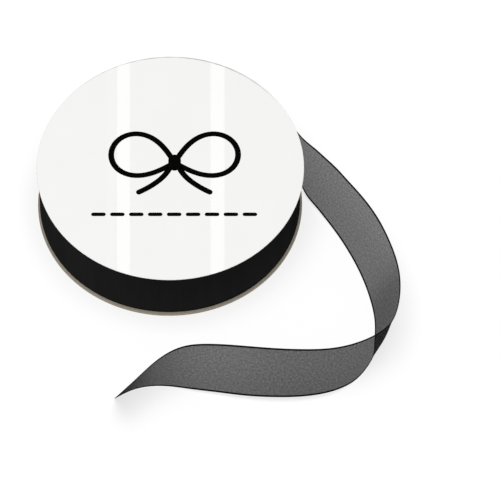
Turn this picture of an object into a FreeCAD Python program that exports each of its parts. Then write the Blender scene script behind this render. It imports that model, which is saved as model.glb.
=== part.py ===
"""Ribbon spool: a flat board spool, lying on its back disc, wound with sheer ribbon whose free end stands on edge.

Two board discs are glued to the ends of a wound paper tube. A glossy card label covers the front disc and
closes the tube, and a paper label with a hole covers the back disc. The ribbon's inner end is taped to the
tube. The free end leaves the roll between the discs, leans outwards, turns round on its lower edge and runs
back past the spool to a twisted tip.

Millimetres, +Z up. The origin is on the spool's axis, at the underside, and -Y is towards the reader of the
front label.
"""

import math
import os

import FreeCAD, Part
import Sketcher

V = FreeCAD.Vector

# Driving dimensions: alias -> value. Angles are in degrees.
SIZES = {
    "front_label_radius": 56.8,
    "front_label_thickness": 0.3,
    "back_label_radius": 54.5,
    "back_label_thickness": 0.2,
    "front_flange_radius": 55.8,
    "back_flange_radius": 56.6,
    "flange_thickness": 1.5,
    "flange_edge_round": 0.25,
    "bore_radius": 13.0,
    "tube_wall": 3.0,
    "glue_thickness": 0.2,
    "ribbon_width": 25.0,
    "ribbon_side_gap": 0.3,
    "roll_radius": 55.8,
    "tape_thickness": 0.1,
    "tape_width": 19.0,
    "tape_angle": 70.0,
    "tail_thickness": 0.3,
    "tail_roll_gap": 0.2,
}

# Heights of the stack, as expressions of the sheet's cells.
FLANGE_BASE = "Sizes.back_label_thickness"
BACK_FLANGE_TOP = FLANGE_BASE + " + Sizes.flange_thickness"
TUBE_BASE = BACK_FLANGE_TOP + " + Sizes.glue_thickness"
RIBBON_BASE = BACK_FLANGE_TOP + " + Sizes.ribbon_side_gap"
DISC_GAP = "Sizes.ribbon_width + 2 * Sizes.ribbon_side_gap"
TUBE_LENGTH = DISC_GAP + " - 2 * Sizes.glue_thickness"
TUBE_TOP = TUBE_BASE + " + " + TUBE_LENGTH
FRONT_FLANGE_BASE = BACK_FLANGE_TOP + " + " + DISC_GAP
FRONT_LABEL_BASE = FRONT_FLANGE_BASE + " + Sizes.flange_thickness"
TUBE_RADIUS = "Sizes.bore_radius + Sizes.tube_wall"
ROLL_INNER_RADIUS = TUBE_RADIUS + " + Sizes.tape_thickness"

# The tail's first stations lie on the roll, at these angles round the axis.
TAIL_START_ANGLES = (50.0, 43.5, 37.0, 30.5)

# The tail's free stations, from the roll to the tip: where the lower edge is (x, y, z), and how far the
# upper edge leans from it (x, y) as shares of the ribbon's width.
TAIL_STATIONS = (
    (51.3, 22.9, 2.0, 0.02, 0.01),
    (53.4, 17.6, 2.0, 0.06, 0.04),
    (55.2, 12.2, 2.0, 0.12, 0.10),
    (56.9, 6.8, 2.0, 0.23, 0.16),
    (59.1, 2.3, 1.8, 0.30, 0.19),
    (61.9, -1.5, 1.5, 0.35, 0.18),
    (65.3, -6.2, 1.1, 0.38, 0.17),
    (71.4, -15.6, 0.5, 0.42, 0.19),
    (77.2, -26.2, 0.3, 0.45, 0.19),
    (81.6, -36.7, 0.2, 0.46, 0.16),
    (85.1, -48.1, 0.2, 0.45, 0.12),
    (87.0, -59.6, 0.2, 0.41, 0.09),
    (86.7, -70.9, 0.3, 0.35, 0.09),
    (84.0, -81.2, 0.8, 0.24, 0.12),
    (77.4, -89.8, 1.6, 0.12, 0.20),
    (67.5, -95.4, 2.4, 0.05, 0.28),
    (56.0, -97.8, 2.8, 0.02, 0.35),
    (44.0, -98.2, 2.8, 0.00, 0.40),
    (32.0, -97.2, 2.4, -0.01, 0.42),
    (20.4, -95.2, 1.8, -0.02, 0.38),
    (8.9, -93.1, 1.2, -0.06, 0.25),
    (-2.5, -91.5, 0.8, -0.04, -0.06),
    (-13.6, -92.6, 0.5, 0.04, -0.35),
    (-22.6, -97.2, 0.4, 0.05, -0.51),
)

doc = FreeCAD.newDocument("RibbonSpool")


def add_sizes():
    sheet = doc.addObject("Spreadsheet::Sheet", "Sizes")
    for row, (alias, value) in enumerate(SIZES.items(), start=1):
        sheet.set(f"A{row}", alias)
        sheet.set(f"B{row}", str(value))
        sheet.setAlias(f"B{row}", alias)
    doc.recompute()
    return sheet


def new_body(name):
    body = doc.addObject("PartDesign::Body", name)
    body.Label = name
    return body


def sketch_on(body, plane_role):
    """A sketch on one of the body's own origin planes."""
    plane = next(f for f in body.Origin.OriginFeatures if f.Role == plane_role)
    sketch = body.newObject("Sketcher::SketchObject", body.Name + "_sketch")
    sketch.AttachmentSupport = [(plane, "")]
    sketch.MapMode = "FlatFace"
    return sketch


def add_circle(sketch, name, radius):
    """A circle about the sketch's origin whose radius follows an expression."""
    first_guess = 10.0 if name == "outer" else 5.0
    circle = sketch.addGeometry(Part.Circle(V(0, 0, 0), V(0, 0, 1), first_guess), False)
    sketch.addConstraint(Sketcher.Constraint("Coincident", circle, 3, -1, 1))
    index = sketch.addConstraint(Sketcher.Constraint("Radius", circle, first_guess))
    sketch.renameConstraint(index, name)
    sketch.setExpression("Constraints." + name, radius)


def add_disc(name, outer, thickness, base, inner=None):
    """A flat disc about the axis, or a ring if it has an inner radius. Returns the body and its pad."""
    body = new_body(name)
    sketch = sketch_on(body, "XY_Plane")
    add_circle(sketch, "outer", outer)
    if inner:
        add_circle(sketch, "inner", inner)
    pad = body.newObject("PartDesign::Pad", name + "_pad")
    pad.Profile = sketch
    pad.setExpression("Length", thickness)
    sketch.Visibility = False
    body.setExpression("Placement.Base.z", base)
    return body, pad


def round_rim(body, pad, radius):
    """Rounds the pad's two outer rim edges, as a punched board disc has."""
    doc.recompute()
    rim_radius = max(e.Curve.Radius for e in pad.Shape.Edges if isinstance(e.Curve, Part.Circle))
    rims = [
        f"Edge{number}"
        for number, edge in enumerate(pad.Shape.Edges, start=1)
        if isinstance(edge.Curve, Part.Circle) and abs(edge.Curve.Radius - rim_radius) < 1e-6
    ]
    fillet = body.newObject("PartDesign::Fillet", body.Name + "_rim")
    fillet.Base = (pad, rims)
    fillet.setExpression("Radius", radius)


def add_back_label():
    return add_disc(
        "back_label", "Sizes.back_label_radius", "Sizes.back_label_thickness", "0", "Sizes.bore_radius"
    )[0]


def add_flange(name, base):
    radius = f"Sizes.{name}_radius"
    body, pad = add_disc(name, radius, "Sizes.flange_thickness", base, "Sizes.bore_radius")
    round_rim(body, pad, "Sizes.flange_edge_round")
    return body


def add_glue_ring(name, base):
    """The film of glue between a disc and the tube's end."""
    return add_disc(name, TUBE_RADIUS, "Sizes.glue_thickness", base, "Sizes.bore_radius")[0]


def add_core_tube():
    return add_disc("core_tube", TUBE_RADIUS, TUBE_LENGTH, TUBE_BASE, "Sizes.bore_radius")[0]


def add_start_tape():
    """The strip of tape that holds the ribbon's inner end on the tube: part of a thin ring."""
    body = new_body("start_tape")
    sketch = sketch_on(body, "XZ_Plane")
    corners = [V(16, 4, 0), V(17, 4, 0), V(17, 20, 0), V(16, 20, 0)]
    sides = [
        sketch.addGeometry(Part.LineSegment(a, b), False)
        for a, b in zip(corners, corners[1:] + corners[:1])
    ]
    for side, following in zip(sides, sides[1:] + sides[:1]):
        sketch.addConstraint(Sketcher.Constraint("Coincident", side, 2, following, 1))
    for side, direction in zip(sides, ("Horizontal", "Vertical", "Horizontal", "Vertical")):
        sketch.addConstraint(Sketcher.Constraint(direction, side))
    sizes = (
        ("inner", "DistanceX", (-1, 1, sides[0], 1), TUBE_RADIUS),
        ("lowest", "DistanceY", (-1, 1, sides[0], 1),
         RIBBON_BASE + " + (Sizes.ribbon_width - Sizes.tape_width) / 2"),
        ("thickness", "DistanceX", (sides[0], 1, sides[0], 2), "Sizes.tape_thickness"),
        ("width", "DistanceY", (sides[1], 1, sides[1], 2), "Sizes.tape_width"),
    )
    for name, kind, points, expression in sizes:
        index = sketch.addConstraint(Sketcher.Constraint(kind, *points, 1.0))
        sketch.renameConstraint(index, name)
        sketch.setExpression("Constraints." + name, expression)
    turn = body.newObject("PartDesign::Revolution", "start_tape_turn")
    turn.Profile = sketch
    turn.ReferenceAxis = (sketch, ["V_Axis"])
    turn.setExpression("Angle", "Sizes.tape_angle")
    sketch.Visibility = False
    return body


def add_ribbon_roll():
    return add_disc("ribbon_roll", "Sizes.roll_radius", "Sizes.ribbon_width", RIBBON_BASE, ROLL_INNER_RADIUS)[0]


def tail_edges(sheet):
    """Points along the tail's lower and upper edges, at the middle of its thickness."""
    radius = sheet.roll_radius + sheet.tail_roll_gap + sheet.tail_thickness / 2
    base = sheet.back_label_thickness + sheet.flange_thickness + sheet.ribbon_side_gap
    lower = []
    upper = []
    for angle in TAIL_START_ANGLES:
        turn = math.radians(angle)
        foot = V(radius * math.cos(turn), radius * math.sin(turn), base)
        lower.append(foot)
        upper.append(foot + V(0, 0, sheet.ribbon_width))
    for x, y, z, lean_x, lean_y in TAIL_STATIONS:
        rise = math.sqrt(1 - lean_x**2 - lean_y**2)
        foot = V(x, y, z)
        lower.append(foot)
        upper.append(foot + V(lean_x, lean_y, rise) * sheet.ribbon_width)
    return lower, upper


def side_curve(points, across, offset, stations):
    """A smooth curve through the points, each moved by offset along its own across direction."""
    curve = Part.BSplineCurve()
    curve.interpolate(Points=[p + a * offset for p, a in zip(points, across)], Parameters=stations)
    return curve.toShape()


def add_ribbon_tail(sheet):
    """The free end: a strip bounded by four long curves, ruled between neighbours and flat at its ends."""
    lower, upper = tail_edges(sheet)
    middle = [(a + b) * 0.5 for a, b in zip(lower, upper)]
    stations = [0.0]
    for here, following in zip(middle, middle[1:]):
        stations.append(stations[-1] + here.distanceToPoint(following))
    across = []
    for index in range(len(middle)):
        ahead = middle[min(index + 1, len(middle) - 1)] - middle[max(index - 1, 0)]
        across.append(ahead.cross(upper[index] - lower[index]).normalize())
    half = sheet.tail_thickness / 2
    corners = [
        side_curve(edge, across, offset, stations)
        for edge, offset in ((lower, -half), (lower, half), (upper, half), (upper, -half))
    ]
    faces = [Part.makeRuledSurface(a, b) for a, b in zip(corners, corners[1:] + corners[:1])]
    for end in (0, -1):
        outline = [corner.Vertexes[end].Point for corner in corners]
        faces.append(Part.Face(Part.makePolygon(outline + outline[:1])))
    shell = Part.makeShell(faces)
    shell.sewShape()
    solid = Part.makeSolid(shell)
    if solid.Volume < 0:
        solid.reverse()
    tail = doc.addObject("Part::Feature", "ribbon_tail")
    tail.Label = "ribbon_tail"
    tail.Shape = solid
    tail.Placement = FreeCAD.Placement()
    print("tail length", round(stations[-1], 1), "volume by its length",
          round(stations[-1] * sheet.ribbon_width * sheet.tail_thickness, 1))
    return tail


def check_and_write(subparts):
    """Stops on any failed object or bad shape, then writes one STEP file for each sub-part."""
    doc.recompute()
    for item in doc.Objects:
        if "Invalid" in item.State or "Error" in item.State:
            raise RuntimeError(f"{item.Label} failed: {item.State}")
    os.makedirs("parts", exist_ok=True)
    for item in subparts:
        shape = item.Shape
        if shape.isNull() or not shape.isValid() or not shape.Solids:
            raise RuntimeError(f"{item.Label} has no valid shape")
        shape.exportStep(os.path.join("parts", item.Label + ".step"))
        print(item.Label, "volume", round(shape.Volume, 1), "z", shape.BoundBox.ZMin, shape.BoundBox.ZMax)


sizes_sheet = add_sizes()
subparts = [
    add_back_label(),
    add_flange("back_flange", FLANGE_BASE),
    add_glue_ring("back_glue_ring", BACK_FLANGE_TOP),
    add_core_tube(),
    add_start_tape(),
    add_ribbon_roll(),
    add_glue_ring("front_glue_ring", TUBE_TOP),
    add_flange("front_flange", FRONT_FLANGE_BASE),
    add_disc(
        "front_label", "Sizes.front_label_radius", "Sizes.front_label_thickness", FRONT_LABEL_BASE
    )[0],
    add_ribbon_tail(sizes_sheet),
]
check_and_write(subparts)
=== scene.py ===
import math

import bmesh
import bpy
import numpy as np
from mathutils import Matrix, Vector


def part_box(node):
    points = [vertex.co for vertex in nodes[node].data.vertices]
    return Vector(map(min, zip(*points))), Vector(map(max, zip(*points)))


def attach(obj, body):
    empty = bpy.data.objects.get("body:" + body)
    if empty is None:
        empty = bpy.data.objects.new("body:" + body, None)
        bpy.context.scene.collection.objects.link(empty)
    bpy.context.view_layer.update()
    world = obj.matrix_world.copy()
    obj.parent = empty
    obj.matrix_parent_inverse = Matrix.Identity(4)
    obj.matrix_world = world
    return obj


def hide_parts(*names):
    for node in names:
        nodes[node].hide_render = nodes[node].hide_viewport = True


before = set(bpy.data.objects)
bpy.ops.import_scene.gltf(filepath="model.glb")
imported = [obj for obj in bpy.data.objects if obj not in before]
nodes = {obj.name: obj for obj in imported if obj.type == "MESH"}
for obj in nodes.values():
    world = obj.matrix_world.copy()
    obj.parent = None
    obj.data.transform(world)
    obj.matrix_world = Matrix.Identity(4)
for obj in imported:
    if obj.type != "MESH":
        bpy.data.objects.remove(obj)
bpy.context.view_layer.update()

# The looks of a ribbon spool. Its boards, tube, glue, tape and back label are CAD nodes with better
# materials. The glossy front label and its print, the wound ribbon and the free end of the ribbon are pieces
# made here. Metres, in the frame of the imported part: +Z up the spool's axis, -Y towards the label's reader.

MM = 0.001


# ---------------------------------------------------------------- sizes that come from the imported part

label_low, label_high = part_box("front_label")
roll_low, roll_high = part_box("ribbon_roll")

LABEL_RADIUS = label_high.x
TUBE_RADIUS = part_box("core_tube")[1].x
ROLL_RADIUS = roll_high.x
ROLL_HOLE = TUBE_RADIUS + 0.1 * MM
RIBBON_WIDTH = roll_high.z - roll_low.z
RIBBON_FOOT = roll_low.z

# How the ribbon is made
WINDING_PITCH = 0.2 * MM
SELVEDGE_WIDTH = 0.85 * MM
SELVEDGE_HALF = 0.15 * MM
SHEER_HALF = 0.05 * MM

# Where the free end starts on the roll, in degrees round the axis, and how far out it lies
TAIL_START_ANGLES = (50.0, 43.5, 37.0, 30.5)
TAIL_START_RADIUS = ROLL_RADIUS + 0.30 * MM

# The free end's stations, in millimetres: where its lower edge is (x, y, z), and how far its upper edge
# leans from it (x, y) as shares of the ribbon's width.
TAIL_STATIONS = (
    (51.3, 22.9, 2.0, 0.02, 0.01),
    (53.4, 17.6, 2.0, 0.06, 0.04),
    (55.2, 12.2, 2.0, 0.12, 0.10),
    (56.9, 6.8, 2.0, 0.23, 0.16),
    (59.1, 2.3, 1.8, 0.30, 0.19),
    (61.9, -1.5, 1.5, 0.35, 0.18),
    (65.3, -6.2, 1.1, 0.38, 0.17),
    (71.5, -15.6, 0.5, 0.42, 0.19),
    (77.2, -26.2, 0.3, 0.45, 0.20),
    (81.7, -36.7, 0.2, 0.46, 0.17),
    (85.2, -48.1, 0.2, 0.46, 0.12),
    (87.1, -59.6, 0.2, 0.415, 0.09),
    (86.8, -70.9, 0.3, 0.36, 0.09),
    (86.2, -76.4, 0.5, 0.305, 0.10),
    (84.1, -81.4, 0.8, 0.25, 0.12),
    (77.6, -90.0, 1.6, 0.12, 0.20),
    (67.6, -95.6, 2.4, 0.05, 0.28),
    (56.0, -98.0, 2.8, 0.02, 0.355),
    (44.0, -98.3, 2.8, 0.00, 0.40),
    (32.0, -97.3, 2.4, -0.01, 0.42),
    (20.4, -95.3, 1.8, -0.02, 0.38),
    (8.9, -93.3, 1.2, -0.06, 0.255),
    (-2.5, -91.6, 0.8, -0.035, -0.065),
    (-13.6, -92.8, 0.5, 0.045, -0.35),
    (-22.6, -97.5, 0.4, 0.05, -0.50),
)

# About how long the free end is, along its middle
TAIL_LENGTH = 257 * MM

# Where the ribbon turns round it bulges outwards across its width: how far along, how widely and how much.
TURN_PLACE = 133 * MM
TURN_SPREAD = 15 * MM
TURN_BULGE = 0.8 * MM

# Faint ripples across the free end: each one's height, the length that one radian of its wave takes, and its
# phase. They grow from nothing over RIPPLE_START, from the first station that is off the roll.
RIPPLES = ((0.10 * MM, 5.5 * MM, 0.0), (0.07 * MM, 3.1 * MM, 1.0))
RIPPLE_START = 20 * MM

# How much of the light the sheer web stops besides its threads' own share, from the roll (0) to the tip (1).
# Its changes along the way are painted shade: it rises where the ribbon turns round, and most at the twisted
# tip.
TAIL_DENSITY_AND_SHADE = (
    (0.0, 0.23),
    (0.15, 0.23),
    (0.30, 0.21),
    (0.38, 0.22),
    (0.45, 0.30),
    (0.54, 0.295),
    (0.70, 0.285),
    (0.84, 0.26),
    (0.91, 0.32),
    (0.96, 0.42),
    (1.0, 0.58),
)


# ---------------------------------------------------------------- materials

class Surface:
    """A material with one Principled shader, and short calls that add nodes in front of it."""

    def __init__(self, name, roughness=0.5, specular=0.5):
        self.material = bpy.data.materials.new(name)
        self.material.use_nodes = True
        self.tree = self.material.node_tree
        self.shader = self.tree.nodes["Principled BSDF"]
        self.put("Roughness", roughness)
        self.put("Specular IOR Level", specular)
        self.place = self.add("TexCoord").outputs["Object"]

    def feed(self, socket, value):
        if isinstance(value, bpy.types.NodeSocket):
            self.tree.links.new(value, socket)
        else:
            socket.default_value = value

    def put(self, name, value):
        """Sets one of the shader's own sockets."""
        self.feed(self.shader.inputs[name], value)

    def add(self, kind, inputs=(), **settings):
        node = self.tree.nodes.new("ShaderNode" + kind)
        for name, value in settings.items():
            setattr(node, name, value)
        for name, value in dict(inputs).items():
            self.feed(node.inputs[name], value)
        return node

    def maths(self, operation, *values):
        node = self.add("Math", operation=operation)
        for socket, value in zip(node.inputs, values):
            self.feed(socket, value)
        return node.outputs[0]

    def stretched(self, x=1.0, y=1.0, z=1.0, place=None):
        inputs = {"Vector": place or self.place, "Scale": (x, y, z)}
        return self.add("Mapping", inputs).outputs[0]

    def noise(self, size, detail=2.0, place=None, rough=0.5):
        """Cloudy noise from 0 to 1 whose lumps are about size metres across."""
        inputs = {"Vector": place or self.place, "Scale": 1 / size, "Detail": detail, "Roughness": rough}
        return self.add("TexNoise", inputs).outputs["Fac"]

    def ranged(self, value, low, high, start=0.0, end=1.0):
        """Value's stretch from low to high, spread over start to end and held there outside it."""
        inputs = {"Value": value, "From Min": low, "From Max": high, "To Min": start, "To Max": end}
        return self.add("MapRange", inputs).outputs["Result"]

    def mixed(self, share, low, high):
        """The colour low where share is 0 and high where it is 1."""
        node = self.add("Mix", data_type="RGBA")
        colours = [s for s in node.inputs if s.type == "RGBA"]
        self.feed(node.inputs[0], share)
        for socket, colour in zip(colours, (low, high)):
            self.feed(socket, colour if isinstance(colour, bpy.types.NodeSocket) else (*colour, 1.0))
        return next(s for s in node.outputs if s.type == "RGBA")

    def curve(self, value, points):
        """A smooth curve through the points (value from 0 to 1, result from 0 to 1)."""
        node = self.add("FloatCurve", {"Value": value})
        line = node.mapping.curves[0]
        line.points[0].location, line.points[1].location = points[0], points[-1]
        for here, result in points[1:-1]:
            line.points.new(here, result)
        node.mapping.update()
        return node.outputs[0]

    def xyz(self, place=None):
        return self.add("SeparateXYZ", {"Vector": place or self.place}).outputs

    def reach(self):
        """The distance from the Z axis."""
        x, y, _ = self.xyz()
        square = self.maths("ADD", self.maths("MULTIPLY", x, x), self.maths("MULTIPLY", y, y))
        return self.maths("SQRT", square)

    def round_axis(self, radius):
        """The distance round the Z axis at that radius."""
        x, y, _ = self.xyz()
        return self.maths("MULTIPLY", self.maths("ARCTAN2", y, x), radius)

    def waves(self, distance, pitch):
        """A smooth wave from 0 to 1 that repeats every pitch."""
        turn = self.maths("MULTIPLY", distance, 2 * math.pi / pitch)
        return self.ranged(self.maths("COSINE", turn), -1.0, 1.0)

    def bump(self, height, depth, strength=1.0):
        inputs = {"Height": height, "Distance": depth, "Strength": strength}
        self.put("Normal", self.add("Bump", inputs).outputs[0])


def glossy_card():
    """Coated card under a clear film: bright white, barely uneven in its shine, and with painted shade, a
    patchy grey line, along the far part of its rim."""
    card = Surface("glossy_card")
    cloud = card.noise(22 * MM, detail=3)
    clean = card.mixed(cloud, (0.805, 0.806, 0.796), (0.83, 0.831, 0.818))
    # Painted shade: the next four lines mix a patchy grey line (0.40) into the white along the rim's far part
    rim = card.ranged(card.reach(), LABEL_RADIUS - 0.60 * MM, LABEL_RADIUS - 0.45 * MM)
    side = card.ranged(card.xyz()[1], 32 * MM, 52 * MM)
    shade_patches = card.ranged(card.noise(5 * MM, detail=3), 0.3, 0.6, 0.35, 1.0)
    rim_shade = card.maths("MULTIPLY", card.maths("MULTIPLY", rim, side), shade_patches)
    card.put("Base Color", card.mixed(rim_shade, clean, (0.40, 0.395, 0.39)))
    card.put("Roughness", card.ranged(card.noise(4 * MM), 0.3, 0.7, 0.008, 0.014))
    card.bump(card.noise(9 * MM), 0.004 * MM, 0.1)
    return card.material


def card_edge():
    """The cut edge of the card: paper core, a little darker and fibrous."""
    edge = Surface("card_edge", roughness=0.9, specular=0.2)
    fibres = edge.noise(0.35 * MM, detail=3, place=edge.stretched(z=3.0))
    edge.put("Base Color", edge.mixed(fibres, (0.62, 0.60, 0.57), (0.80, 0.79, 0.76)))
    edge.bump(fibres, 0.03 * MM, 0.5)
    return edge.material


def greyboard(name, low, high):
    """Recycled board: grey-brown, with light and dark fibres and flecks, and ply lines along its cut edge,
    which is darkened by painted shade. low and high are the corners of the disc's box."""
    board = Surface(name, roughness=0.92, specular=0.15)
    pulp = board.noise(1.6 * MM, detail=5, rough=0.65)
    base = board.mixed(pulp, (0.400, 0.348, 0.275), (0.610, 0.545, 0.450))
    dark = board.ranged(board.noise(0.45 * MM, detail=2), 0.66, 0.72)
    base = board.mixed(board.maths("MULTIPLY", dark, 0.55), base, (0.17, 0.145, 0.12))
    pale = board.ranged(board.noise(0.7 * MM, detail=1, place=board.stretched(1.7, 0.8, 1.0)), 0.68, 0.74)
    base = board.mixed(board.maths("MULTIPLY", pale, 0.5), base, (0.74, 0.70, 0.62))
    height = board.maths("SUBTRACT", board.xyz()[2], low.z)
    wander = board.ranged(board.noise(6 * MM), 0.0, 1.0, -0.06 * MM, 0.06 * MM)
    ply = board.waves(board.maths("ADD", height, wander), 0.5 * MM)
    sharp = board.ranged(ply, 0.82, 1.0)
    # One dark colour for the board's real ply lines and for the painted shade on its cut edge
    ply_and_edge_shade = (0.22, 0.19, 0.155)
    base = board.mixed(board.maths("MULTIPLY", sharp, 0.35), base, ply_and_edge_shade)
    # Painted shade: the cut edge and the face's outermost 0.3 mm are darkened towards that colour
    cut = board.ranged(board.reach(), high.x - 0.3 * MM, high.x - 0.2 * MM)
    base = board.mixed(board.maths("MULTIPLY", cut, 0.35), base, ply_and_edge_shade)
    board.put("Base Color", base)
    board.bump(board.maths("ADD", pulp, board.maths("MULTIPLY", sharp, -0.6)), 0.06 * MM, 0.6)
    return board.material


def kraft_tube():
    """Spirally wound kraft paper: brown, long fibres and a seam that climbs round the tube."""
    tube = Surface("kraft_tube", roughness=0.85, specular=0.2)
    around = tube.round_axis(TUBE_RADIUS)
    slope = 0.6
    climb = tube.maths("ADD", tube.maths("MULTIPLY", around, slope), tube.xyz()[2])
    seam = tube.ranged(tube.waves(climb, 2 * math.pi * TUBE_RADIUS * slope), 0.9985, 1.0)
    fibres = tube.noise(0.9 * MM, detail=5, place=tube.stretched(1.0, 1.0, 2.2), rough=0.6)
    base = tube.mixed(fibres, (0.27, 0.175, 0.10), (0.43, 0.30, 0.185))
    tube.put("Base Color", tube.mixed(tube.maths("MULTIPLY", seam, 0.7), base, (0.12, 0.07, 0.04)))
    tube.bump(tube.maths("SUBTRACT", fibres, seam), 0.05 * MM, 0.6)
    return tube.material


def back_paper():
    """Uncoated off-white paper."""
    paper = Surface("back_paper", roughness=0.9, specular=0.25)
    fibres = paper.noise(0.8 * MM, detail=6, rough=0.7)
    paper.put("Base Color", paper.mixed(fibres, (0.74, 0.73, 0.69), (0.86, 0.85, 0.82)))
    paper.bump(fibres, 0.02 * MM, 0.5)
    return paper.material


def glue():
    """Set hot glue: amber, smooth and lumpy."""
    film = Surface("glue", roughness=0.3)
    lumps = film.noise(2.5 * MM, detail=2)
    film.put("Base Color", film.mixed(lumps, (0.52, 0.40, 0.17), (0.80, 0.70, 0.45)))
    film.bump(lumps, 0.1 * MM, 0.6)
    return film.material


def tape():
    """Paper-backed tape with fine creases across it."""
    strip = Surface("tape", roughness=0.35)
    creases = strip.waves(strip.round_axis(TUBE_RADIUS), 0.45 * MM)
    grain = strip.noise(1.2 * MM, detail=3)
    strip.put("Base Color", strip.mixed(grain, (0.66, 0.60, 0.42), (0.82, 0.77, 0.60)))
    strip.bump(creases, 0.02 * MM, 0.5)
    return strip.material


def wound_ribbon():
    """Black ribbon, turn on turn: fine cross threads, a denser selvedge along each edge, and faintly uneven
    tension."""
    wound = Surface("wound_ribbon", roughness=0.8, specular=0.0)
    around = wound.round_axis(ROLL_RADIUS)
    height = wound.xyz()[2]
    middle = (roll_low.z + roll_high.z) / 2
    from_middle = wound.maths("ABSOLUTE", wound.maths("SUBTRACT", height, middle))
    inner_edge, blur = RIBBON_WIDTH / 2 - SELVEDGE_WIDTH, 0.05 * MM
    selvedge = wound.ranged(from_middle, inner_edge - blur, inner_edge + blur)
    weft = wound.waves(height, 0.30 * MM)
    warp = wound.waves(around, 0.26 * MM)
    weave = wound.maths("MULTIPLY", weft, warp)
    tension = wound.noise(5 * MM, detail=3, place=wound.stretched(1.0, 1.0, 0.12))
    shade = wound.maths("ADD", wound.maths("MULTIPLY", weave, 0.35), wound.maths("MULTIPLY", tension, 0.65))
    cloth = wound.mixed(shade, (0.0108, 0.0108, 0.0113), (0.0212, 0.0211, 0.0215))
    edge = wound.mixed(warp, (0.0080, 0.0080, 0.0084), (0.0160, 0.0160, 0.0165))
    wound.put("Base Color", wound.mixed(selvedge, cloth, edge))
    wound.bump(wound.maths("ADD", weave, wound.maths("MULTIPLY", selvedge, 0.8)), 0.04 * MM, 0.7)
    return wound.material


def sheer_ribbon():
    """Organza: single threads with light between them, so it is seen through. Its UV map, and so every size
    here, is in millimetres."""
    sheer = Surface("sheer_ribbon", roughness=0.75, specular=0.0)
    along, across, _ = sheer.xyz(sheer.add("UVMap", uv_map="cloth").outputs[0])
    flat = sheer.add("CombineXYZ", {"X": along, "Y": across}).outputs[0]
    slub = sheer.noise(0.6, detail=3, place=sheer.stretched(0.25, 1.0, 1.0, place=flat))
    weft = sheer.waves(sheer.maths("ADD", along, sheer.maths("MULTIPLY", slub, 0.1)), 0.27)
    warp = sheer.waves(sheer.maths("ADD", across, sheer.maths("MULTIPLY", slub, 0.1)), 0.23)
    threads = sheer.maths("MAXIMUM", weft, warp)
    grain = sheer.noise(0.9, detail=3, place=flat, rough=0.75)
    cover = sheer.maths("ADD", sheer.maths("MULTIPLY", threads, 0.20), sheer.maths("MULTIPLY", grain, 0.45))
    # Painted shade: a darker, denser web where the ribbon turns round and at the twisted tip
    density_and_shade = sheer.curve(sheer.maths("DIVIDE", along, TAIL_LENGTH / MM), TAIL_DENSITY_AND_SHADE)
    sheer.put("Alpha", sheer.maths("ADD", cover, density_and_shade))
    sheer.put("Base Color", sheer.mixed(threads, (0.006, 0.006, 0.006), (0.016, 0.016, 0.016)))
    sheer.bump(threads, 0.03 * MM, 0.6)
    return sheer.material


def selvedge():
    """The ribbon's woven edge: dense black threads, ribbed across."""
    edge = Surface("selvedge", roughness=0.7, specular=0.0)
    along, across, _ = edge.xyz(edge.add("UVMap", uv_map="cloth").outputs[0])
    ribs = edge.waves(edge.maths("ADD", along, edge.maths("MULTIPLY", across, 0.5)), 0.3)
    edge.put("Base Color", edge.mixed(ribs, (0.003, 0.003, 0.003), (0.009, 0.009, 0.009)))
    edge.bump(ribs, 0.04 * MM, 0.8)
    return edge.material


def ink():
    """Flat black ink, a little uneven where the card's surface is."""
    black = Surface("ink", roughness=0.9, specular=0.0)
    mottle = black.noise(0.8 * MM, detail=3)
    black.put("Base Color", black.mixed(mottle, (0.0012, 0.0012, 0.0013), (0.0030, 0.0030, 0.0032)))
    black.bump(mottle, 0.005 * MM, 0.3)
    return black.material


# ---------------------------------------------------------------- mesh work

# Points closer than the first length are joined, and edges shorter than the second are removed
SAME_POINT = 1e-7
NO_EDGE = 1e-8


def add_piece(name, points, faces, materials, smooth=True, flat=None):
    """A mesh object. flat is each point's place on the flat cloth, kept as a UV map called cloth."""
    mesh = bpy.data.meshes.new(name)
    mesh.from_pydata([tuple(p) for p in points], [], faces)
    if flat is not None:
        layer = mesh.uv_layers.new(name="cloth")
        for corner in mesh.loops:
            layer.data[corner.index].uv = flat[corner.vertex_index]
    work = bmesh.new()
    work.from_mesh(mesh)
    bmesh.ops.remove_doubles(work, verts=work.verts, dist=SAME_POINT)
    bmesh.ops.dissolve_degenerate(work, edges=work.edges, dist=NO_EDGE)
    bmesh.ops.recalc_face_normals(work, faces=work.faces)
    work.to_mesh(mesh)
    work.free()
    for material in materials:
        mesh.materials.append(material)
    if smooth:
        mesh.shade_smooth()
    piece = bpy.data.objects.new(name, mesh)
    bpy.context.scene.collection.objects.link(piece)
    return piece


def skin(name, loops, materials, wrap=False, flat=None):
    """A closed surface through equal loops of points. Without wrap its two ends are capped, each loop being
    one side from 0 to its middle and the other side back again."""
    loops = np.asarray(loops, float)
    count, size, _ = loops.shape
    faces = []
    for one in range(count if wrap else count - 1):
        two = (one + 1) % count
        for here in range(size):
            beside = (here + 1) % size
            faces.append((one * size + here, one * size + beside, two * size + beside, two * size + here))
    if not wrap:
        for start in (0, (count - 1) * size):
            for here in range(size // 2 - 1):
                far = size - 1 - here
                faces.append((start + here, start + here + 1, start + far - 1, start + far))
    return add_piece(name, loops.reshape(-1, 3), faces, materials, flat=flat)


def spin(name, profile, materials, segments=256, radius_at=None):
    """A closed profile of (radius, height) points, turned round the Z axis. radius_at(radius, angle) may
    change the radius on the way round."""
    loops = []
    for step in range(segments):
        angle = 2 * math.pi * step / segments
        loop = []
        for radius, height in profile:
            reach = radius_at(radius, angle) if radius_at else radius
            loop.append((reach * math.cos(angle), reach * math.sin(angle), height))
        loops.append(loop)
    return skin(name, loops, materials, wrap=True)


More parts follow.
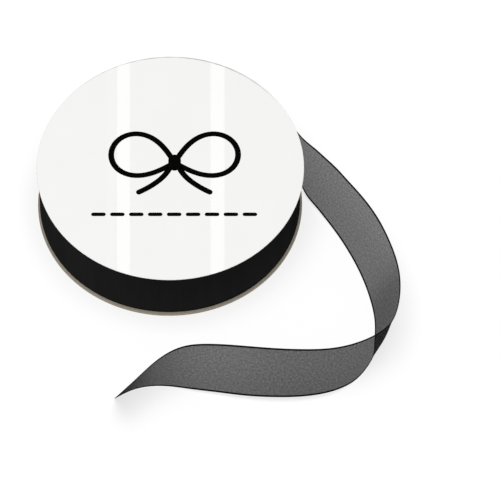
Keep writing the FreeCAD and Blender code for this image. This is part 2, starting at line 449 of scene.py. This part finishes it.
def smooth_path(points, knots, at):
    """The natural cubic spline through points at knots, read at each value of at."""
    points, knots = np.asarray(points, float), np.asarray(knots, float)
    gaps = np.diff(knots)[:, None]
    slopes = np.diff(points, axis=0) / gaps
    count = len(points)
    system, wanted = np.eye(count), np.zeros_like(points)
    for row in range(1, count - 1):
        before, after = gaps[row - 1, 0], gaps[row, 0]
        system[row, row - 1 : row + 2] = before, 2 * (before + after), after
        wanted[row] = 6 * (slopes[row] - slopes[row - 1])
    bends = np.linalg.solve(system, wanted)
    span = np.clip(np.searchsorted(knots, at, side="right") - 1, 0, count - 2)
    gap = gaps[span]
    ahead = (at - knots[span])[:, None]
    behind = gap - ahead
    curve = bends[span] * behind**3 + bends[span + 1] * ahead**3
    line = (points[span] / gap - bends[span] * gap / 6) * behind
    return curve / (6 * gap) + line + (points[span + 1] / gap - bends[span + 1] * gap / 6) * ahead


# ---------------------------------------------------------------- the front label and its print

INK_HEIGHT = 0.012 * MM
BOW_CENTRE = (2.2 * MM, 2.2 * MM)
# The label is glued on a little off the spool's axis
LABEL_OFFSET = 0.4 * MM
# The angles that a line of ink narrows through at its round ends
ROUND_END = (25, 50, 70, 84)


def make_label():
    """A card disc with softly cut rims. The faces on its side show the card's core."""
    corner = 0.12 * MM
    rings = [0.0, 15 * MM, 30 * MM, 45 * MM, LABEL_RADIUS - 1 * MM, LABEL_RADIUS - corner]
    top = [(r, label_high.z) for r in rings]
    side = [(LABEL_RADIUS, label_high.z - corner), (LABEL_RADIUS, label_low.z + corner)]
    bottom = [(r, label_low.z) for r in reversed(rings)]
    label = spin("front_label_card", top + side + bottom, [glossy_card(), card_edge()])
    label.data.transform(Matrix.Translation((LABEL_OFFSET, 0, 0)))
    for face in label.data.polygons:
        flat = abs(face.normal.z) > 0.9
        face.material_index = 0 if flat else 1
        face.use_smooth = not flat
    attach(label, "spool")
    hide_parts("front_label")
    return label


def stroke(name, path, width, material, height=INK_HEIGHT):
    """A line of ink along a path on the label's face, with round ends."""
    path = np.asarray(path, float)
    ahead = np.gradient(path, axis=0)
    ahead /= np.linalg.norm(ahead, axis=1)[:, None]
    stops = [(path[0], ahead[0], -math.sin(a), math.cos(a)) for a in np.radians(ROUND_END[::-1])]
    stops += [(point, way, 0.0, 1.0) for point, way in zip(path, ahead)]
    stops += [(path[-1], ahead[-1], math.sin(a), math.cos(a)) for a in np.radians(ROUND_END)]
    loops = []
    for point, way, beyond, share in stops:
        centre = point + way * beyond * width / 2
        side = np.array((-way[1], way[0])) * share * width / 2
        left, right = centre + side, centre - side
        high, low = label_high.z + height, label_high.z - INK_HEIGHT
        loops.append([(*left, high), (*right, high), (*right, low), (*left, low)])
    mark = skin(name, loops, [material])
    for face in mark.data.polygons:
        face.use_smooth = False
    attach(mark, "spool")
    return mark


def bow_loop(side, count=48):
    """One loop of the bow: a lobe of a figure eight, tilted up a little."""
    reach, rise, tilt, gap = 27.5 * MM, 30 * MM, math.radians(14), 0.1
    turn = np.linspace(-math.pi / 2 + gap, math.pi / 2 - gap, count)
    x = reach * np.cos(turn) / (1 + np.sin(turn) ** 2)
    y = rise * np.sin(turn) * np.cos(turn) / (1 + np.sin(turn) ** 2)
    out = x * math.cos(tilt) - y * math.sin(tilt)
    up = x * math.sin(tilt) + y * math.cos(tilt)
    return np.column_stack((BOW_CENTRE[0] + side * out, BOW_CENTRE[1] + up))


def bow_end(side, count=16):
    """One hanging end of the bow, a simple bend."""
    share = np.linspace(0, 1, count)
    out = (1.5 + 4.0 * share + 9.5 * share**2) * MM
    down = (1.0 + 15.5 * share - 1.5 * share**2) * MM
    return np.column_stack((BOW_CENTRE[0] + side * out, BOW_CENTRE[1] - down))


def make_print():
    """A plain picture of a bow, and a row of stitches under it."""
    black, line = ink(), 2.5 * MM
    for side, word in ((-1, "left"), (1, "right")):
        stroke("print_bow_loop_" + word, bow_loop(side), line, black)
        stroke("print_bow_end_" + word, bow_end(side), line, black)
    knot = np.array([(BOW_CENTRE[0], BOW_CENTRE[1] + y * MM) for y in (-1.4, 0.0, 1.4)])
    stroke("print_bow_knot", knot, 5.4 * MM, black, height=INK_HEIGHT * 1.3)
    stitches, pitch, length, foot = 9, 8.0 * MM, 4.4 * MM, -24.0 * MM
    for number in range(stitches):
        middle = BOW_CENTRE[0] + (number - (stitches - 1) / 2) * pitch
        path = [(middle + x * length / 2, foot) for x in (-1, 0, 1)]
        stroke(f"print_stitch_{number + 1}", path, 1.8 * MM, black)


# ---------------------------------------------------------------- the wound ribbon

def make_roll():
    """The roll: its side is the outermost turn, which sinks one turn's thickness on its way round, with a
    thicker selvedge along each edge. Its two ends show the edges of the turns as fine rings."""
    start = math.radians(TAIL_START_ANGLES[0])
    lap = math.radians(4)
    # How steeply the sinking fades inwards from the outermost turn
    fade = 8

    def radius_at(radius, angle):
        """Sinks the outermost turn from start all the way round, and brings it back up over the last lap."""
        wound = (angle - start) % (2 * math.pi)
        share = wound / (2 * math.pi - lap) if wound < 2 * math.pi - lap else (2 * math.pi - wound) / lap
        depth = (radius - ROLL_HOLE) / (ROLL_RADIUS - ROLL_HOLE)
        return radius - WINDING_PITCH * share * depth**fade

    rings, groove, crest, rim = 64, 0.12 * MM, 0.02 * MM, 0.3 * MM
    bottom = []
    for ring in range(rings + 1):
        radius = ROLL_HOLE + (ROLL_RADIUS - rim - ROLL_HOLE) * ring / rings
        bottom.append((radius, roll_low.z + (groove if ring % 2 else crest)))
    bead = 0.06 * MM
    edge = [
        (ROLL_RADIUS - 0.08 * MM, roll_low.z),
        (ROLL_RADIUS + bead * 0.7, roll_low.z + 0.08 * MM),
        (ROLL_RADIUS + bead, roll_low.z + SELVEDGE_WIDTH / 2),
        (ROLL_RADIUS + bead * 0.7, roll_low.z + SELVEDGE_WIDTH * 0.85),
        (ROLL_RADIUS, roll_low.z + SELVEDGE_WIDTH * 1.1),
    ]
    middle = (roll_low.z + roll_high.z) / 2
    half = bottom + edge + [(ROLL_RADIUS, roll_low.z + RIBBON_WIDTH * 0.3)]
    profile = half + [(radius, 2 * middle - height) for radius, height in reversed(half)]
    roll = spin("ribbon_wound", profile, [wound_ribbon()], segments=288, radius_at=radius_at)
    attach(roll, "spool")
    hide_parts("ribbon_roll")
    return roll


# ---------------------------------------------------------------- the free end of the ribbon

def tail_edges():
    """Stations along the lower and upper edges of the free end."""
    lower, upper = [], []
    for angle in np.radians(TAIL_START_ANGLES):
        x, y = TAIL_START_RADIUS * math.cos(angle), TAIL_START_RADIUS * math.sin(angle)
        foot = np.array((x, y, RIBBON_FOOT))
        lower.append(foot)
        upper.append(foot + np.array((0, 0, RIBBON_WIDTH)))
    for x, y, z, lean_x, lean_y in TAIL_STATIONS:
        foot = np.array((x, y, z)) * MM
        lower.append(foot)
        upper.append(foot + np.array((lean_x, lean_y, math.sqrt(1 - lean_x**2 - lean_y**2))) * RIBBON_WIDTH)
    return np.array(lower), np.array(upper)


def unit(vectors):
    return vectors / np.linalg.norm(vectors, axis=-1, keepdims=True)


def cross_section():
    """The ribbon's section from its lower to its upper edge: (share of the width, half the thickness)."""
    edge = SELVEDGE_WIDTH / RIBBON_WIDTH
    # The selvedge's own section, in shares of its width and of half its thickness
    bead = [(0.0, 0.45), (0.10, 0.85), (0.35, 1.0), (0.65, 1.0), (0.88, 0.75)]
    low = [(edge * place, SELVEDGE_HALF * full) for place, full in bead]
    web = [(share, SHEER_HALF) for share in np.linspace(edge, 1 - edge, 15)]
    high = [(1 - share, half) for share, half in reversed(low)]
    return low + web + high


def make_tail(spacing=1.0 * MM):
    """The free end as one thin closed sheet with a thicker selvedge along each edge."""
    lower, upper = tail_edges()
    middle = (lower + upper) / 2
    knots = np.concatenate(([0.0], np.cumsum(np.linalg.norm(np.diff(middle, axis=0), axis=1))))
    length = knots[-1]
    at = np.linspace(0, length, int(length / spacing) + 1)
    feet, heads = smooth_path(lower, knots, at), smooth_path(upper, knots, at)
    across = unit(heads - feet)
    ahead = unit(np.gradient((feet + heads) / 2, at, axis=0))
    normal = unit(np.cross(ahead, across))
    section = cross_section()
    free = np.clip((at - knots[len(TAIL_START_ANGLES)]) / RIPPLE_START, 0, 1)
    loops, flat = [], []
    for place, foot, way, out, loose in zip(at, feet, across, normal, free):
        ripple = sum(height * math.sin(place / wave + phase) for height, wave, phase in RIPPLES)
        ripple -= TURN_BULGE * math.exp(-(((place - TURN_PLACE) / TURN_SPREAD) ** 2))
        sides = [[], []]
        for share, half in section:
            sway = loose * ripple * math.sin(math.pi * share) ** 2
            for side, sign in zip(sides, (1, -1)):
                side.append(foot + way * share * RIBBON_WIDTH + out * (sway + sign * half))
        loops.append(sides[0] + sides[1][::-1])
        shares = [share for share, _ in section]
        flat.append([(place / MM, share * RIBBON_WIDTH / MM) for share in shares + shares[::-1]])
    tail = skin("ribbon_free_end", loops, [sheer_ribbon(), selvedge()], flat=np.array(flat).reshape(-1, 2))
    edge, width = SELVEDGE_WIDTH / MM, RIBBON_WIDTH / MM
    places = tail.data.uv_layers["cloth"].data
    for face in tail.data.polygons:
        share = sum(places[corner].uv.y for corner in face.loop_indices) / len(face.loop_indices)
        face.material_index = 0 if edge < share < width - edge else 1
    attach(tail, "free_ribbon")
    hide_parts("ribbon_tail")
    return tail


# ---------------------------------------------------------------- the carried-over CAD pieces

def finish_cad_nodes():
    set_glue = glue()
    looks = {
        "back_flange": greyboard("greyboard_back", *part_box("back_flange")),
        "front_flange": greyboard("greyboard_front", *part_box("front_flange")),
        "core_tube": kraft_tube(),
        "back_label": back_paper(),
        "back_glue_ring": set_glue,
        "front_glue_ring": set_glue,
        "start_tape": tape(),
    }
    for name, material in looks.items():
        nodes[name].data.materials.clear()
        nodes[name].data.materials.append(material)


# ---------------------------------------------------------------- floor, lights and camera

CAMERA_PLACE = (34.25 * MM, -1403.4 * MM, 2156.4 * MM)
# How far the camera looks down
CAMERA_DIP = math.radians(57.38)
CAMERA_LENS = 432.0

WORLD_LIGHT = 0.395
KEY_LIGHT = 21.2
KEY_SIZE = 1100 * MM
KEY_PLACE = (-80 * MM, -60 * MM, 1600 * MM)
# The floor's own colour, and how much light it gives off so that shadows on it stay faint
FLOOR_TONE = 0.28
FLOOR_GLOW = 0.715
STRIP_DISTANCE = 1200 * MM
STRIP_LENGTH = 600 * MM
# Narrow lights that the label mirrors: where each one is from left to right, its width and its brightness.
STRIPS = (
    (-52.1 * MM, 5.0 * MM, 0.25),
    (-44.3 * MM, 8.0 * MM, 1.90),
    (14.1 * MM, 8.6 * MM, 1.90),
)


def pale_floor():
    """White paper."""
    paper = Surface("pale_floor", roughness=1.0, specular=0.0)
    paper.put("Base Color", (FLOOR_TONE, FLOOR_TONE, FLOOR_TONE, 1.0))
    paper.put("Emission Color", (1.0, 1.0, 1.0, 1.0))
    paper.put("Emission Strength", FLOOR_GLOW)
    return paper.material


def add_floor():
    """A flat floor just under the part, so that no two faces coincide."""
    reach, level = 3.0, -0.02 * MM
    corners = [(x * reach, y * reach, level) for x, y in ((-1, -1), (1, -1), (1, 1), (-1, 1))]
    floor = add_piece("floor", corners, [(0, 1, 2, 3)], [pale_floor()], smooth=False)


def add_area_light(name, place, tip, width, length, power):
    lamp = bpy.data.lights.new(name, "AREA")
    lamp.shape = "RECTANGLE"
    lamp.size, lamp.size_y = width, length
    lamp.energy = power
    light = bpy.data.objects.new(name, lamp)
    light.location = place
    light.rotation_euler = (tip, 0, 0)
    light.visible_camera = False
    bpy.context.scene.collection.objects.link(light)


def add_lights():
    world = bpy.data.worlds.new("studio")
    world.use_nodes = True
    world.node_tree.nodes["Background"].inputs["Color"].default_value = (1.0, 1.0, 1.0, 1.0)
    world.node_tree.nodes["Background"].inputs["Strength"].default_value = WORLD_LIGHT
    bpy.context.scene.world = world
    add_area_light("key", KEY_PLACE, 0.0, KEY_SIZE, KEY_SIZE, KEY_LIGHT)
    tip = CAMERA_DIP - math.pi / 2
    for number, (across, width, brightness) in enumerate(STRIPS):
        place = (across, STRIP_DISTANCE * math.cos(CAMERA_DIP), STRIP_DISTANCE * math.sin(CAMERA_DIP))
        power = brightness * math.pi * width * STRIP_LENGTH
        add_area_light(f"strip_{number + 1}", place, tip, width, STRIP_LENGTH, power)


def add_camera():
    lens = bpy.data.cameras.new("camera")
    lens.lens = CAMERA_LENS
    lens.sensor_width = 36.0
    lens.clip_end = 20.0
    camera = bpy.data.objects.new("camera", lens)
    camera.location = CAMERA_PLACE
    camera.rotation_euler = (math.pi / 2 - CAMERA_DIP, 0, 0)
    bpy.context.scene.collection.objects.link(camera)
    bpy.context.scene.camera = camera
    bpy.context.scene.view_settings.view_transform = "Standard"


add_camera()
add_floor()
add_lights()
finish_cad_nodes()
make_label()
make_print()
make_roll()
make_tail()
